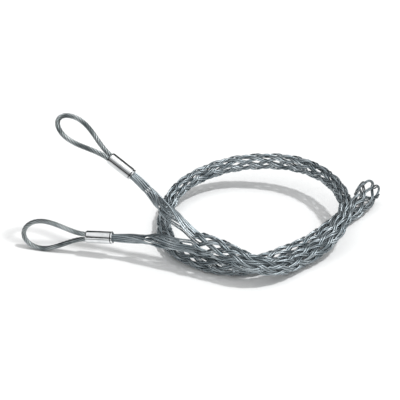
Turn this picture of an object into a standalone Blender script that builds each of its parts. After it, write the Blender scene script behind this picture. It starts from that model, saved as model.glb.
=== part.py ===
"""Cable pulling grip with two eyes, woven from twelve steel strands.

The strands are woven in pairs, as a tube that a cable goes into. At the open end each
strand turns back into the tube as a small loop. At the other end the strand ends gather
into two bundles, and each bundle is pressed in an aluminium ferrule together with the two
ends of a laid rope eye. The grip lies in one loose turn on a flat surface, with its head
and its tail crossing the turn, one eye on the surface and the other standing up.

Metres, +Z up. The origin is below the middle of the grip, on the surface it lies on.
"""

import math

import bmesh
import bpy
import numpy as np
from mathutils import Matrix, Vector

# Woven tube
BANDS = 6                    # pairs of strands laid each way round the tube
STRAND_D = 0.0017            # one strand, across its corners
STRAND_GAP = 0.0002          # left between strands that touch on the real grip
STRAND_SIDES = 3
MESH_RADIUS = 0.0075         # to the middle of the weave, where the tube is at rest
CROSSING_PITCH = 0.0121      # along the tube, from one ring of crossings to the next
TURN_GAP = 0.0003            # between one pass of the tube and the pass that lies on it
LOOP_LENGTH = 0.0072         # end loops of the strands, past the last crossings
LOOP_START = 0.0027          # where the strands leave their helix for the end loop
LOOP_STEPS = 6

# Route of the tube from its head to its mouth. Each point has its x and y, how far the
# tube is lifted, in tube heights, and how wide it is drawn there, in mesh radii.
ROUTE = [
    (0.0030, -0.1460, 1.00, 1.42),
    (0.0304, -0.1612, 1.06, 1.12),
    (0.0523, -0.1714, 0.83, 0.99),
    (0.0749, -0.1676, 0.45, 0.99),
    (0.1032, -0.1444, 0.17, 1.01),
    (0.1277, -0.1239, 0.34, 1.01),
    (0.1474, -0.1020, 0.79, 0.88),
    (0.1601, -0.0675, 1.16, 0.79),
    (0.1565, -0.0240, 1.30, 0.81),
    (0.1388, 0.0140, 1.31, 0.92),
    (0.1096, 0.0386, 1.28, 1.00),
    (0.0752, 0.0480, 1.17, 1.00),
    (0.0400, 0.0482, 0.96, 0.99),
    (0.0082, 0.0338, 0.77, 0.93),
    (-0.0172, 0.0096, 0.575, 0.88),
    (-0.0326, -0.0239, 0.325, 0.83),
    (-0.0372, -0.0654, 0.105, 0.84),
    (-0.0254, -0.1120, 0.0, 0.96),
    (0.0000, -0.1389, 0.0, 1.00),
    (0.0277, -0.1519, 0.0, 1.00),
    (0.0556, -0.1499, 0.0, 1.00),
    (0.0855, -0.1317, 0.0, 1.00),
    (0.1146, -0.1088, 0.0, 1.00),
    (0.1413, -0.0763, 0.0, 1.00),
    (0.1632, -0.0461, 0.0, 1.01),
    (0.1810, -0.0225, 0.0, 1.25),
    (0.1930, -0.0006, 0.04, 1.58),
]
HEAD_LEAN = math.radians(42)   # from level, the side of the head whose strands go to the lower eye

# Bundles of strand ends
BUNDLE_PITCH = STRAND_D + 0.00018
BUNDLE_ROWS = [-1, 1, -1, 1, 1, -1]   # row of each pair in a bundle of three columns
BUNDLE_SLACK = 0.40          # share by which a bundle opens between its ferrule and the head
FAN_LENGTH = 0.66            # share of the bundle's way over which its strands spread
FAN_CURVE = 0.72             # below 1, they spread more towards the ferrule
HEAD_HANDLE = 0.08           # how far a bundle keeps the tube's direction, as a share of its way
FERRULE_HANDLE = 0.30        # and how far it keeps the ferrule's
BUNDLE_TWIST = math.radians(150)   # about how far a bundle is twisted
TWIST_START = 0.15           # share of the bundle's way, from the head, that isn't twisted
BUNDLE_STEPS = [0.0, 0.08, 0.17, 0.27, 0.37, 0.47, 0.57, 0.67, 0.78, 0.89, 1.0]

# Ferrules, and the eyes that they hold
FERRULE_LENGTH = 0.030
FERRULE_WIDTH = 0.0134
FERRULE_THICKNESS = 0.0118
FERRULE_ROUND = 0.0022       # of the rim that faces the eye
FERRULE_CHAMFER = 0.0004     # of the rim that faces the mesh
FERRULE_SIDES = 24
BORE_CLEARANCE = 0.0003
BORE_STEPS = 8               # facets of each round side of the bore
ROPE_D = 0.0052
ROPE_GAP = 0.0003            # between the rope's two legs, and at its ends in the ferrule
ROPE_DEPTH = 0.0175          # of the rope's legs in the ferrule
ROPE_LOBES = 6
ROPE_VALLEY = 0.80           # radius between two lobes, as a share of the rope's radius
ROPE_LAY = 0.052             # length in which the lobes go once round
ROPE_STEP = 0.0058
LOWER_EYE_LENGTH = 0.0700    # from the ferrule to the middle of the rope at the crown
UPPER_EYE_LENGTH = 0.0655
EYE_WIDTH = 0.0300           # between the middles of the rope where the eye is widest
CROWN_SHARE = 0.30           # of the eye's length, past its widest place

MERGE = 0.000001             # points of a made mesh closer than this are one

LOWER_FERRULE = (-0.1037, -0.1142)            # x and y, the height follows from the eye
LOWER_AXIS = Vector((-0.970, 0.224, -0.080)).normalized()
LOWER_LEAN = math.radians(13)                 # of the eye's plane, from upright
UPPER_FERRULE = Vector((-0.0795, -0.0990, 0.0980))
UPPER_AXIS = Vector((-0.787, 0.290, 0.545)).normalized()
UPPER_FACE = Vector((0.617, 0.369, 0.695))
UPPER_ROLL = math.radians(40)                 # of the eye's plane about the ferrule's axis

# What follows from the sizes above
LEG_OFFSET = (ROPE_D + ROPE_GAP) / 2
BORE_WIDTH = 2 * LEG_OFFSET + ROPE_D + 2 * BORE_CLEARANCE
BORE_HEIGHT = ROPE_D + 2 * BORE_CLEARANCE
STRAND_DEPTH = FERRULE_LENGTH - ROPE_DEPTH - ROPE_GAP


def new_collection(name):
    collection = bpy.data.collections.new(name)
    bpy.context.scene.collection.children.link(collection)
    return collection


def new_material(name, colour, metallic, roughness):
    material = bpy.data.materials.new(name)
    material.use_nodes = True
    shader = material.node_tree.nodes["Principled BSDF"]
    shader.inputs["Base Color"].default_value = (*colour, 1.0)
    shader.inputs["Metallic"].default_value = metallic
    shader.inputs["Roughness"].default_value = roughness
    return material


def hide_guide(guide):
    guide.hide_render = True
    guide.display_type = "WIRE"


# Smooth paths

def spline_through(points, step):
    """Samples of the natural cubic spline through the points, one column a coordinate."""
    points = np.asarray(points, float)
    chords = np.linalg.norm(np.diff(points[:, :3], axis=0), axis=1)
    knots = np.concatenate([[0.0], np.cumsum(chords)])
    count = len(knots)
    system = np.zeros((count, count))
    system[0, 0] = system[-1, -1] = 1.0
    right = np.zeros_like(points)
    for i in range(1, count - 1):
        system[i, i - 1:i + 2] = chords[i - 1], 2 * (chords[i - 1] + chords[i]), chords[i]
        slope_after = (points[i + 1] - points[i]) / chords[i]
        slope_before = (points[i] - points[i - 1]) / chords[i - 1]
        right[i] = 6 * (slope_after - slope_before)
    bends = np.linalg.solve(system, right)
    at = np.linspace(0.0, knots[-1], int(knots[-1] / step) + 1)
    i = np.clip(np.searchsorted(knots, at, side="right") - 1, 0, count - 2)
    after = (at - knots[i])[:, None]
    before = (knots[i + 1] - at)[:, None]
    span = chords[i][:, None]
    cubic = (bends[i] * before**3 + bends[i + 1] * after**3) / (6 * span)
    lines = (points[i] / span - bends[i] * span / 6) * before
    lines += (points[i + 1] / span - bends[i + 1] * span / 6) * after
    return cubic + lines


def unit(vectors):
    return vectors / np.linalg.norm(vectors, axis=-1, keepdims=True)


class Path:
    """A sampled curve with a frame that follows it without twisting, read by its length."""

    def __init__(self, samples, first_normal):
        self.points = np.asarray(samples)[:, :3]
        self.extra = np.asarray(samples)[:, 3:]
        steps = np.linalg.norm(np.diff(self.points, axis=0), axis=1)
        self.at = np.concatenate([[0.0], np.cumsum(steps)])
        self.length = self.at[-1]
        self.tangents = unit(np.gradient(self.points, self.at, axis=0))
        normals = [np.asarray(first_normal, float)]
        for tangent in self.tangents:
            normal = normals[-1] - tangent * np.dot(normals[-1], tangent)
            normals.append(normal / np.linalg.norm(normal))
        self.normals = np.array(normals[1:])

    def read(self, table, s):
        return np.array([np.interp(s, self.at, column) for column in table.T]).T

    def frame(self, s):
        """Place, tangent, normal and side at a length, going straight on past the ends."""
        tangent = unit(self.read(self.tangents, s))
        normal = self.read(self.normals, s)
        normal = unit(normal - tangent * np.dot(normal, tangent))
        place = self.read(self.points, s) + tangent * (s - min(max(s, 0.0), self.length))
        return place, tangent, normal, np.cross(tangent, normal)


def smooth(x):
    x = min(max(x, 0.0), 1.0)
    return x * x * (3 - 2 * x)


# The woven tube

class Weave:
    """The tube's path, and where each strand runs round it."""

    def __init__(self):
        self.spacing = STRAND_D + STRAND_GAP
        self.pitch = CROSSING_PITCH
        self.twist = math.pi / (BANDS * self.pitch)
        layer = 2 * self.outer_radius(MESH_RADIUS) + TURN_GAP
        points = []
        for x, y, lift, girth in ROUTE:
            radius = girth * MESH_RADIUS
            points.append((x, y, lift * layer + self.outer_radius(radius), radius))
        samples = spline_through(points, 0.001)
        start = unit(samples[1, :3] - samples[0, :3])
        level = unit(np.cross(start, (0.0, 0.0, 1.0)))
        down = np.cross(start, level)
        down *= -np.sign(down[2])
        lower_side = level * math.cos(HEAD_LEAN) + down * math.sin(HEAD_LEAN)
        self.path = Path(samples, lower_side)
        self.stations = round(self.path.length / CROSSING_PITCH)
        self.pitch = self.path.length / self.stations
        self.twist = math.pi / (BANDS * self.pitch)

    def pair_angle(self, radius):
        """Half the angle between the two strands of a pair."""
        slope = radius * self.twist
        return self.spacing / 2 * math.hypot(1.0, slope) / radius

    def amplitude(self, radius):
        """How far a strand passes over or under the weave's middle, to clear its crossings."""
        shift = self.pair_angle(radius) / self.twist
        return self.spacing / 2 / (1 - shift / self.pitch)

    def outer_radius(self, radius):
        return radius + self.amplitude(radius) + STRAND_D / 2

    def radius(self, s):
        return float(self.path.read(self.path.extra, s)[0])

    def place(self, s, angle, rise):
        """A point at a length along the tube, an angle round it and a rise over its middle."""
        centre, _, normal, side = self.path.frame(s)
        radius = self.radius(s) + rise
        return centre + radius * (math.cos(angle) * normal + math.sin(angle) * side)

    def leg(self, band, way, twin):
        """Points of one strand, from the first ring of crossings to the last."""
        points = []
        for station in range(self.stations + 1):
            at = station * self.pitch
            radius = self.radius(at)
            half = self.pair_angle(radius)
            s = at - way * twin * half / (2 * self.twist)
            angle = 2 * math.pi * band / BANDS + way * self.twist * s + twin * half
            rise = way * (-1) ** station * self.amplitude(radius)
            points.append(self.place(s, angle, rise))
        return points

    def end_loop(self, band, twin):
        """Points of the loop in which a strand turns back at the mouth."""
        start = self.path.length + LOOP_START
        radius = self.radius(self.path.length)
        half = self.pair_angle(radius)
        middle = 2 * math.pi * band / BANDS + self.twist * (self.path.length + self.pitch)
        width = self.twist * (self.pitch - LOOP_START) - twin * half
        length = LOOP_LENGTH - twin * self.spacing / 2
        over = (-1) ** self.stations * self.amplitude(radius) * (1 - 2 * LOOP_START / self.pitch)
        points = []
        for step in range(LOOP_STEPS + 1):
            turn = math.pi * step / LOOP_STEPS
            angle = middle - width * math.cos(turn)
            rise = over * math.cos(turn)
            points.append(self.place(start + length * math.sin(turn), angle, rise))
        return points

    def head_angle(self, band, way):
        """Where a pair stands round the tube, half a crossing before the first crossings."""
        angle = 2 * math.pi * band / BANDS - way * self.twist * self.pitch / 2
        return (angle + math.pi) % (2 * math.pi) - math.pi


class Bundle:
    """Strand ends between one half of the tube's head and a ferrule."""

    def __init__(self, weave, bands, middle, eye):
        self.weave = weave
        self.middle = middle
        self.radius = weave.radius(0.0)
        places = [(self.from_middle(band, way), band, way) for band in bands for way in (1, -1)]
        self.order = {(band, way): n for n, (_, band, way) in enumerate(sorted(places))}
        start, tangent, normal, _ = weave.path.frame(-weave.pitch / 2)
        mouth = np.array(eye.mesh_end)
        axis = np.array(eye.axis)
        apart = np.linalg.norm(mouth - start)
        leaving = start - tangent * HEAD_HANDLE * apart
        control = [start, leaving, mouth - axis * FERRULE_HANDLE * apart, mouth]
        t = np.linspace(0.0, 1.0, 200)[:, None]
        way_there = control[0] * (1 - t)**3 + 3 * control[1] * t * (1 - t)**2
        way_there = way_there + 3 * control[2] * t**2 * (1 - t) + control[3] * t**3
        self.path = Path(way_there, normal * math.cos(middle))
        _, tangent, normal, _ = self.path.frame(self.path.length)
        across = np.cross(normal, tangent)
        width = np.array(eye.width_axis)
        if np.dot(across, width) < 0:
            width = -width
        square = math.atan2(np.dot(width, normal), np.dot(width, across)) - math.pi / 2
        self.turn = square + math.pi * round((BUNDLE_TWIST - square) / math.pi)

    def from_middle(self, band, way):
        angle = self.weave.head_angle(band, way) - self.middle
        return (angle + math.pi) % (2 * math.pi) - math.pi

    def strand(self, band, way, twin):
        """Points of one strand end, from its place in the ferrule to the tube."""
        angle = self.from_middle(band, way)
        column = (self.order[band, way] // 2 - 1) * BUNDLE_PITCH
        row = BUNDLE_ROWS[self.order[band, way]] * BUNDLE_PITCH
        points = []
        for share in BUNDLE_STEPS:
            open_share = max(0.0, 1 - share / FAN_LENGTH) ** FAN_CURVE
            slack = 1 + BUNDLE_SLACK * math.sin(math.pi * share)
            x = column * slack * (1 - open_share) + self.radius * math.sin(angle) * open_share
            y = row * slack * (1 - open_share) + self.radius * math.cos(angle) * open_share
            stacked = math.copysign(math.pi / 2, -angle)
            lean = stacked + (-angle - stacked) * open_share
            open_half = self.weave.pair_angle(self.radius) * self.radius
            half = BUNDLE_PITCH / 2 * slack * (1 - open_share) + open_half * open_share
            x += twin * half * math.cos(lean)
            y += twin * half * math.sin(lean)
            turn = self.turn * smooth((share - TWIST_START) / (1 - TWIST_START))
            points.append(self.place(share * self.path.length, x, y, turn))
        points.append(self.place(self.path.length + STRAND_DEPTH, x, y, self.turn))
        return points[::-1]

    def place(self, s, x, y, turn):
        centre, tangent, normal, _ = self.path.frame(s)
        across = np.cross(normal, tangent)
        x_axis = across * math.cos(turn) + normal * math.sin(turn)
        y_axis = normal * math.cos(turn) - across * math.sin(turn)
        return centre + x * x_axis + y * y_axis


# Ferrules and eyes

class Eye:
    """The place of one ferrule and of the rope eye that it holds."""

    def __init__(self, name, length, centre, axis, width_axis):
        self.name = name
        self.length = length
        self.axis = axis
        self.width_axis = (width_axis - axis * width_axis.dot(axis)).normalized()
        self.move_to(centre)

    def move_to(self, centre):
        self.centre = centre
        self.mesh_end = centre - self.axis * FERRULE_LENGTH / 2
        self.eye_end = centre + self.axis * FERRULE_LENGTH / 2

    def matrix(self):
        """Frame of the ferrule: x across the eye, z along the ferrule towards the eye."""
        thick = self.axis.cross(self.width_axis)
        rows = Matrix((self.width_axis, thick, self.axis)).transposed()
        return Matrix.Translation(self.centre) @ rows.to_4x4()

    def rope_points(self, step):
        """Middle of the rope, from one end in the ferrule round the eye to the other."""
        widest = self.length * (1 - CROWN_SHARE)
        crown = self.length * CROWN_SHARE
        half = EYE_WIDTH / 2
        leg = [(-ROPE_DEPTH, LEG_OFFSET)]
        for n in range(61):
            along = widest * n / 60
            leg.append((along, LEG_OFFSET + (half - LEG_OFFSET) * smooth(along / widest)))
        arc = []
        for n in range(1, 90):
            angle = math.pi * n / 90
            arc.append((widest + crown * math.sin(angle), half * math.cos(angle)))
        outline = np.array(leg + arc + [(a, -w) for a, w in reversed(leg)])
        lengths = np.concatenate([[0.0], np.cumsum(np.linalg.norm(np.diff(outline, axis=0), axis=1))])
        at = np.linspace(0.0, lengths[-1], round(lengths[-1] / step) + 1)
        along = np.interp(at, lengths, outline[:, 0])
        across = np.interp(at, lengths, outline[:, 1])
        return [self.eye_end + self.axis * a + self.width_axis * w for a, w in zip(along, across)]


def lay_on_surface(eye):
    """Gives a ferrule the height at which its eye rests on the surface."""
    lowest = min(point.z for point in eye.rope_points(0.001))
    eye.move_to(eye.centre + Vector((0.0, 0.0, ROPE_D / 2 - lowest)))


def section_guide(name, radii, collection):
    """A closed outline with its corners at the given radii, for a curve's section."""
    curve = bpy.data.curves.new(name, "CURVE")
    curve.dimensions = "2D"
    spline = curve.splines.new("POLY")
    spline.points.add(len(radii) - 1)
    for n, radius in enumerate(radii):
        angle = -2 * math.pi * n / len(radii)
        spline.points[n].co = (radius * math.cos(angle), radius * math.sin(angle), 0.0, 1.0)
    spline.use_cyclic_u = True
    guide = bpy.data.objects.new(name, curve)
    collection.objects.link(guide)
    hide_guide(guide)
    return guide


def swept_object(name, points, section, collection, material, parent, tilts=None):
    """A curve object that carries a section along the points, with filled ends."""
    curve = bpy.data.curves.new(name, "CURVE")
    curve.dimensions = "3D"
    curve.bevel_mode = "OBJECT"
    curve.bevel_object = section
    curve.use_fill_caps = True
    spline = curve.splines.new("POLY")
    spline.points.add(len(points) - 1)
    for n, point in enumerate(points):
        spline.points[n].co = (*point, 1.0)
        if tilts is not None:
            spline.points[n].tilt = tilts[n]
    curve.materials.append(material)
    swept = bpy.data.objects.new(name, curve)
    swept.parent = parent
    collection.objects.link(swept)
    return swept


def add_strands(weave, bundles, collection, guides, material, parent):
    section = section_guide("strand_section", [STRAND_D / 2] * STRAND_SIDES, guides)
    number = 0
    for band in range(BANDS):
        back_band = (band + weave.stations + 1) % BANDS
        for twin in (1, -1):
            out_leg = weave.leg(band, 1, twin)
            back_leg = weave.leg(back_band, -1, -twin)[::-1]
            out_bundle = next(b for b in bundles if (band, 1) in b.order)
            back_bundle = next(b for b in bundles if (back_band, -1) in b.order)
            points = out_bundle.strand(band, 1, twin) + out_leg
            points += weave.end_loop(band, twin)
            points += back_leg + back_bundle.strand(back_band, -1, -twin)[::-1]
            number += 1
            swept_object(f"strand_{number:02d}", points, section, collection, material, parent)


def add_rope(eye, section, collection, material, parent):
    points = eye.rope_points(ROPE_STEP)
    length = sum((b - a).length for a, b in zip(points, points[1:]))
    tilts = [2 * math.pi * length / ROPE_LAY * n / (len(points) - 1) for n in range(len(points))]
    swept_object(f"eye_rope_{eye.name}", points, section, collection, material, parent, tilts)


def mesh_from_curve(curve_object, merge):
    """Turns a curve object into a mesh object of the same name, with its caps welded."""
    bpy.context.view_layer.update()
    depsgraph = bpy.context.evaluated_depsgraph_get()
    mesh = bpy.data.meshes.new_from_object(curve_object.evaluated_get(depsgraph))
    work = bmesh.new()
    work.from_mesh(mesh)
    bmesh.ops.remove_doubles(work, verts=work.verts, dist=merge)
    bmesh.ops.recalc_face_normals(work, faces=work.faces)
    work.to_mesh(mesh)
    work.free()
    name = curve_object.name
    matrix = curve_object.matrix_world.copy()
    collection = curve_object.users_collection[0]
    bpy.data.objects.remove(curve_object)
    result = bpy.data.objects.new(name, mesh)
    result.matrix_world = matrix
    collection.objects.link(result)
    return result


def stadium_cutter(name, collection):
    """A bar with round sides, which makes the bore for the rope's two legs."""
    radius = BORE_HEIGHT / 2
    shift = BORE_WIDTH / 2 - radius
    corners = []
    for side in (1, -1):
        for n in range(BORE_STEPS + 1):
            angle = math.pi * n / BORE_STEPS - math.pi / 2
            corners.append((side * (shift + radius * math.cos(angle)), side * radius * math.sin(angle)))
    curve = bpy.data.curves.new(name, "CURVE")
    curve.dimensions = "2D"
    curve.fill_mode = "BOTH"
    curve.extrude = FERRULE_LENGTH
    spline = curve.splines.new("POLY")
    spline.points.add(len(corners) - 1)
    for point, (x, y) in zip(spline.points, corners):
        point.co = (x, y, 0.0, 1.0)
    spline.use_cyclic_u = True
    cutter = bpy.data.objects.new(name, curve)
    collection.objects.link(cutter)
    cutter = mesh_from_curve(cutter, MERGE)
    hide_guide(cutter)
    return cutter


def add_ferrule(eye, collection, guides, material, parent):
    """An oval pressed sleeve, rounder at the end that faces the eye."""
    bpy.ops.mesh.primitive_cylinder_add(vertices=FERRULE_SIDES, radius=0.5, depth=FERRULE_LENGTH)
    ferrule = bpy.context.object
    ferrule.name = f"ferrule_{eye.name}"
    ferrule.data.name = ferrule.name
    ferrule.data.transform(Matrix.Diagonal((FERRULE_WIDTH, FERRULE_THICKNESS, 1.0, 1.0)))
    work = bmesh.new()
    work.from_mesh(ferrule.data)
    for side, width, segments in ((1, FERRULE_ROUND, 3), (-1, FERRULE_CHAMFER, 1)):
        rim = [e for e in work.edges if all(side * v.co.z > FERRULE_LENGTH * 0.49 for v in e.verts)]
        bmesh.ops.bevel(work, geom=rim, offset=width, offset_type="OFFSET", segments=segments,
                        profile=0.5, affect="EDGES")
    work.to_mesh(ferrule.data)
    work.free()
    ferrule.data.shade_smooth()
    ferrule.data.set_sharp_from_angle(angle=math.radians(35))
    ferrule.data.materials.append(material)
    for owner in list(ferrule.users_collection):
        owner.objects.unlink(ferrule)
    collection.objects.link(ferrule)
    ferrule.matrix_world = eye.matrix()
    ferrule.parent = parent
    cutter = stadium_cutter(f"bore_{eye.name}", guides)
    cutter.parent = ferrule
    bore = ferrule.modifiers.new("bore", "BOOLEAN")
    bore.operation = "DIFFERENCE"
    bore.solver = "EXACT"
    bore.object = cutter
    return ferrule


def rest_on_origin(parent, collection):
    """Moves the whole grip so that the middle of its underside is the origin."""
    bpy.context.view_layer.update()
    depsgraph = bpy.context.evaluated_depsgraph_get()
    places = []
    for part in collection.objects:
        if part.type == "EMPTY":
            continue
        shape = part.evaluated_get(depsgraph)
        mesh = shape.to_mesh()
        places += [shape.matrix_world @ vertex.co for vertex in mesh.vertices]
        shape.to_mesh_clear()
    low = [min(place[axis] for place in places) for axis in range(3)]
    high = [max(place[axis] for place in places) for axis in range(3)]
    parent.location = (-(low[0] + high[0]) / 2, -(low[1] + high[1]) / 2, -low[2])


def main():
    for leftover in list(bpy.data.objects):
        bpy.data.objects.remove(leftover)
    grip = new_collection("cable_pulling_grip")
    guides = new_collection("guides")
    guides.hide_render = True
    steel = new_material("galvanised_steel", (0.42, 0.45, 0.47), 0.9, 0.42)
    aluminium = new_material("pressed_aluminium", (0.86, 0.87, 0.88), 1.0, 0.28)
    frame = bpy.data.objects.new("grip_frame", None)
    grip.objects.link(frame)

    lower = Eye("lower", LOWER_EYE_LENGTH, Vector((*LOWER_FERRULE, 0.0)), LOWER_AXIS,
                Vector((0.0, math.sin(LOWER_LEAN), math.cos(LOWER_LEAN))))
    lay_on_surface(lower)
    upper = Eye("upper", UPPER_EYE_LENGTH, UPPER_FERRULE, UPPER_AXIS,
                Matrix.Rotation(UPPER_ROLL, 3, UPPER_AXIS) @ UPPER_FACE)

    weave = Weave()
    bundles = [Bundle(weave, (5, 0, 1), 0.0, lower), Bundle(weave, (2, 3, 4), math.pi, upper)]
    add_strands(weave, bundles, grip, guides, steel, frame)

    lobes = [ROPE_D / 2 * (1.0 if n % 2 == 0 else ROPE_VALLEY) for n in range(2 * ROPE_LOBES)]
    rope_section = section_guide("rope_section", lobes, guides)
    for eye in (lower, upper):
        add_rope(eye, rope_section, grip, steel, frame)
        add_ferrule(eye, grip, guides, aluminium, frame)
    rest_on_origin(frame, grip)


main()
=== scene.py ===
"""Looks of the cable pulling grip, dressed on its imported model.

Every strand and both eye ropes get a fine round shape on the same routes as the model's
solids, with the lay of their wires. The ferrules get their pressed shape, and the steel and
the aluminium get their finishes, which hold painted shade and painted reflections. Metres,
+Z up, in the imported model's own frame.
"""

import logging
import math
from dataclasses import dataclass, field
from enum import Enum
from typing import Callable

import bpy
import numpy as np
from bpy.types import Material, Mesh, Node, NodeSocket, NodeTree, Object
from mathutils import Matrix, Vector


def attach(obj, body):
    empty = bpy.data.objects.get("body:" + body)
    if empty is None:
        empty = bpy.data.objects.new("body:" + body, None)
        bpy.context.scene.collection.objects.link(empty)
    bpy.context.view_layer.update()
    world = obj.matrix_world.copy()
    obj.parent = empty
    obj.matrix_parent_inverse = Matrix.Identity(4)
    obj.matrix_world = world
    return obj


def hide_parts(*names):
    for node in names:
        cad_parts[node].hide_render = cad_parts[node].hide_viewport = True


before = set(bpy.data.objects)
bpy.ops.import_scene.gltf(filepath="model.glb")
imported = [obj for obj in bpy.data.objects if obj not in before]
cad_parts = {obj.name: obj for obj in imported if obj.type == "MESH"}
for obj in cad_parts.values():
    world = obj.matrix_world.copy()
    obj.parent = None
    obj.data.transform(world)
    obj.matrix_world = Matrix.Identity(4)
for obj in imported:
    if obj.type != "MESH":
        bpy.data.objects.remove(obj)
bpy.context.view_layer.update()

LOG = logging.getLogger("grip")

Array = np.ndarray
Colour = tuple[float, float, float]
Span = tuple[float, float]

# Added to a place on the route below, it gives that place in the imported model's frame
SHIFT = np.array([-0.010128378, 0.061062817, 0.000025418])

# Distance between two samples of a route, in metres
ROUTE_STEP = 0.001

# Past this share of upright, a route's first normal is taken from X instead of Z
STEEP = 0.9

# Least length that a direction is divided by
TINY = 1e-9

# Details of the groups of wires and of weather; the valley sharpness sets how narrow the painted shade
# between wires is
VALLEY_SHARPNESS = 3.0
CLOUD_DETAIL = 3.0
SPECK_DETAIL = 2.0
SPECK_RANGE = (0.52, 0.72)

# The whole range of a mask
FULL = (0.0, 1.0)

# Route of the tube from its head to its mouth: x, y, lift in tube heights, girth
ROUTE = [
    (0.0030, -0.1460, 1.00, 1.42),
    (0.0304, -0.1612, 1.06, 1.12),
    (0.0523, -0.1714, 0.83, 0.99),
    (0.0749, -0.1676, 0.45, 0.99),
    (0.1032, -0.1444, 0.17, 1.01),
    (0.1277, -0.1239, 0.34, 1.01),
    (0.1474, -0.1020, 0.79, 0.88),
    (0.1601, -0.0675, 1.16, 0.79),
    (0.1565, -0.0240, 1.30, 0.81),
    (0.1388, 0.0140, 1.31, 0.92),
    (0.1096, 0.0386, 1.28, 1.00),
    (0.0752, 0.0480, 1.17, 1.00),
    (0.0400, 0.0482, 0.96, 0.99),
    (0.0082, 0.0338, 0.77, 0.93),
    (-0.0172, 0.0096, 0.575, 0.88),
    (-0.0326, -0.0239, 0.325, 0.83),
    (-0.0372, -0.0654, 0.105, 0.84),
    (-0.0254, -0.1120, 0.0, 0.96),
    (0.0000, -0.1389, 0.0, 1.00),
    (0.0277, -0.1519, 0.0, 1.00),
    (0.0556, -0.1499, 0.0, 1.00),
    (0.0855, -0.1317, 0.0, 1.00),
    (0.1146, -0.1088, 0.0, 1.00),
    (0.1413, -0.0763, 0.0, 1.00),
    (0.1632, -0.0461, 0.0, 1.01),
    (0.1810, -0.0225, 0.0, 1.25),
    (0.1930, -0.0006, 0.04, 1.58),
]


class Seat(Enum):
    """The two eyes of the grip."""

    LOWER = "lower"
    UPPER = "upper"


class Way(Enum):
    """The direction in which a strand goes round the tube."""

    LEFT = -1
    RIGHT = 1


def unit(vectors: Array) -> Array:
    """Scales vectors to length one."""
    return vectors / np.linalg.norm(vectors, axis=-1, keepdims=True)


def smooth(x: float) -> float:
    """A step from 0 to 1 that starts and ends level."""
    x = min(max(x, 0.0), 1.0)
    return x * x * (3 - 2 * x)


def spline_through(points: Array, step: float) -> Array:
    """Samples the natural cubic spline through points.

    Args:
        points: One row a point, the first three columns its place.
        step: Distance between two samples, in metres.

    Returns:
        The samples, with as many columns as the points.
    """
    points = np.asarray(points, float)
    chords = np.linalg.norm(np.diff(points[:, :3], axis=0), axis=1)
    knots = np.concatenate([[0.0], np.cumsum(chords)])
    count = len(knots)
    system = np.zeros((count, count))
    system[0, 0] = system[-1, -1] = 1.0
    right = np.zeros_like(points)
    for i in range(1, count - 1):
        system[i, i - 1:i + 2] = chords[i - 1], 2 * (chords[i - 1] + chords[i]), chords[i]
        slope_after = (points[i + 1] - points[i]) / chords[i]
        slope_before = (points[i] - points[i - 1]) / chords[i - 1]
        right[i] = 6 * (slope_after - slope_before)
    bends = np.linalg.solve(system, right)
    at = np.linspace(0.0, knots[-1], int(knots[-1] / step) + 1)
    i = np.clip(np.searchsorted(knots, at, side="right") - 1, 0, count - 2)
    after = (at - knots[i])[:, None]
    before = (knots[i + 1] - at)[:, None]
    span = chords[i][:, None]
    cubic = (bends[i] * before**3 + bends[i + 1] * after**3) / (6 * span)
    lines = (points[i] / span - bends[i] * span / 6) * before
    lines += (points[i + 1] / span - bends[i + 1] * span / 6) * after
    return cubic + lines


class Path3D:
    """A sampled curve with a frame that follows it without twisting."""

    def __init__(self, samples: Array, first_normal: Array) -> None:
        """Measures the curve and carries the first normal along it.

        Args:
            samples: Places in the first three columns, other values after them.
            first_normal: The frame's normal at the start.
        """
        self.points = np.asarray(samples)[:, :3]
        self.extra = np.asarray(samples)[:, 3:]
        steps = np.linalg.norm(np.diff(self.points, axis=0), axis=1)
        self.at = np.concatenate([[0.0], np.cumsum(steps)])
        self.length = float(self.at[-1])
        self.tangents = unit(np.gradient(self.points, self.at, axis=0))
        normals = [np.asarray(first_normal, float)]
        for tangent in self.tangents:
            normal = normals[-1] - tangent * np.dot(normals[-1], tangent)
            normals.append(normal / np.linalg.norm(normal))
        self.normals = np.array(normals[1:])

    def read(self, table: Array, s: Array) -> Array:
        """Reads a table of the curve's samples at given lengths."""
        return np.array([np.interp(s, self.at, column) for column in table.T]).T

    def frames(self, s: Array) -> tuple[Array, ...]:
        """Frames at given lengths, going straight on past the ends.

        Args:
            s: Lengths along the curve.

        Returns:
            Places, tangents, normals and sides, one row a length.
        """
        s = np.atleast_1d(np.asarray(s, float))
        tangents = unit(self.read(self.tangents, s))
        normals = self.read(self.normals, s)
        normals = unit(normals - tangents * np.sum(normals * tangents, axis=1)[:, None])
        past = s - np.clip(s, 0.0, self.length)
        places = self.read(self.points, s) + tangents * past[:, None]
        return places, tangents, normals, np.cross(tangents, normals)


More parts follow.
